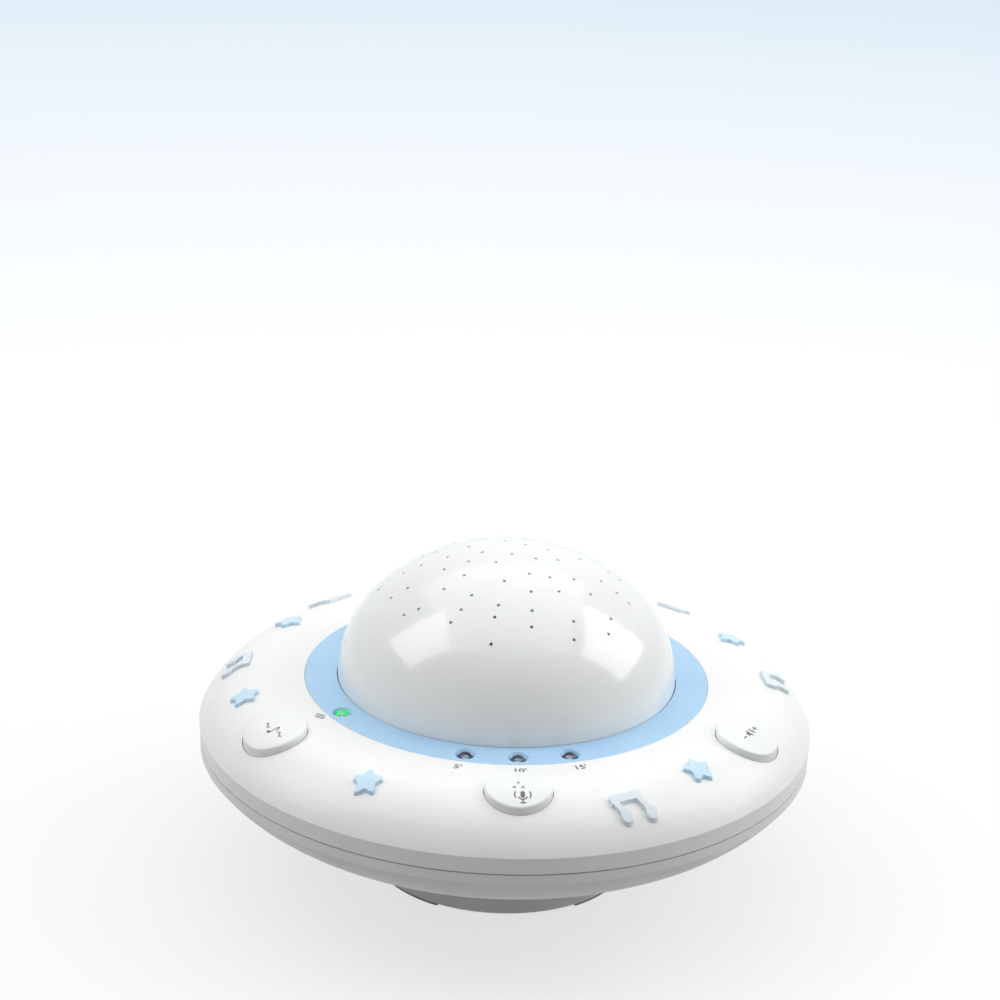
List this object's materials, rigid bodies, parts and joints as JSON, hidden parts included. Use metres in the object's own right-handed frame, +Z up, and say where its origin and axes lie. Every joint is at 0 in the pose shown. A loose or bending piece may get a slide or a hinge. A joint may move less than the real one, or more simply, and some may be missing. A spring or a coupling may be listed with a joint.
{
  "type": "star night light projector",
  "caption": "Saucer-shaped nursery night light that throws stars through a pierced dome, with sound pads, indicator lamps and a battery foot.",
  "frame": {"origin": "centre of the round footprint on the table, under the rubber feet", "axes": "+Z up through the dome, -Y towards the front with the microphone pad, +X to the right seen from the front"},
  "size_m": [0.21, 0.21, 0.1152],
  "materials": {
    "white_shell": "glossy moulded white",
    "white_base": "glossy moulded white",
    "dome_white": "high gloss",
    "ring_blue": "satin gloss pale blue",
    "pad_white": "glossy moulded white",
    "inlay_blue": "satin pale blue",
    "note_pale": "satin very pale blue",
    "lamp_green": "tinted clear, lit",
    "lamp_clear": "clear, unlit",
    "rubber_grey": "matt",
    "rubber_black": "matt",
    "board_green": "solder mask",
    "part_black": "matt",
    "plug_white": "natural nylon",
    "tower_white": "matt moulded",
    "steel": "zinc plated",
    "spring_steel": "nickel plated",
    "aluminium": "satin",
    "can_metal": "sleeved can",
    "brass": "knurled",
    "magnet_dark": "ferrite",
    "cone_paper": "paper cone",
    "cell_wrap": "plain wrapper",
    "door_white": "moulded white"
  },
  "bodies": {
    "base": {"upper_housing": "white_shell", "lower_housing": "white_base", "dome": "dome_white", "trim_ring": "ring_blue", "mic_pad": "pad_white", "mode_switch": "part_black", "volume_switch": "part_black", "mic_capsule": "can_metal", "mic_boot": "rubber_black", "main_board": "board_green", "board_screws": "steel", "sound_chip": "part_black", "amp_capacitor": "can_metal", "wire_plug": "plug_white", "lamp_spacers": "part_black", "ring_screws": "steel", "housing_screws": "steel", "rubber_feet": "rubber_grey", "lamp_tower": "tower_white", "tower_screws": "steel", "lamp_board": "aluminium", "lamp_screws": "steel", "projection_lamp": "lamp_clear", "speaker_basket": "steel", "speaker_magnet": "magnet_dark", "speaker_cone": "cone_paper", "speaker_screws": "steel", "plate_contacts": "spring_steel", "spring_contacts": "spring_steel", "door_insert": "brass", "power_switch": "part_black", "sound_lamp": "lamp_green", "timer_lamp_1": "lamp_clear", "timer_lamp_2": "lamp_clear", "timer_lamp_3": "lamp_clear", "cell_1": "cell_wrap", "cell_2": "cell_wrap", "cell_3": "cell_wrap", "star_inlay_1": "inlay_blue", "star_inlay_2": "inlay_blue", "star_inlay_3": "inlay_blue", "star_inlay_4": "inlay_blue", "star_inlay_5": "inlay_blue", "star_inlay_6": "inlay_blue", "star_inlay_7": "inlay_blue", "note_inlay_1": "note_pale", "note_inlay_2": "note_pale", "note_inlay_3": "note_pale", "note_inlay_4": "note_pale", "note_inlay_5": "note_pale", "note_inlay_6": "note_pale"},
    "mode_button": {"mode_button": "pad_white", "mode_plunger": "plug_white"},
    "volume_button": {"volume_button": "pad_white", "volume_plunger": "plug_white"},
    "battery_door": {"battery_door": "door_white"},
    "door_screw": {"door_screw": "steel"},
    "power_knob": {"power_knob": "part_black"}
  },
  "joints": [
    {"name": "mode_press", "type": "slide", "parent": "base", "child": "mode_button", "axis": [0, 0, -1], "range_m": [0, 0.0008], "stiffness_N_per_m": 1500, "springref_m": -0.0006},
    {"name": "volume_press", "type": "slide", "parent": "base", "child": "volume_button", "axis": [0, 0, -1], "range_m": [0, 0.0008], "stiffness_N_per_m": 1500, "springref_m": -0.0006},
    {"name": "power_slide", "type": "slide", "parent": "base", "child": "power_knob", "axis": [0, 1, 0], "range_m": [-0.004, 0]},
    {"name": "door_swing", "type": "hinge", "parent": "base", "child": "battery_door", "pos_m": [0, 0.03095, 0.0012], "axis": [1, 0, 0], "range_deg": [0, 80]},
    {"name": "door_screw_turn", "type": "hinge", "parent": "battery_door", "child": "door_screw", "pos_m": [0, -0.03445, 0.002], "axis": [0, 0, 1], "continuous": true}
  ]
}
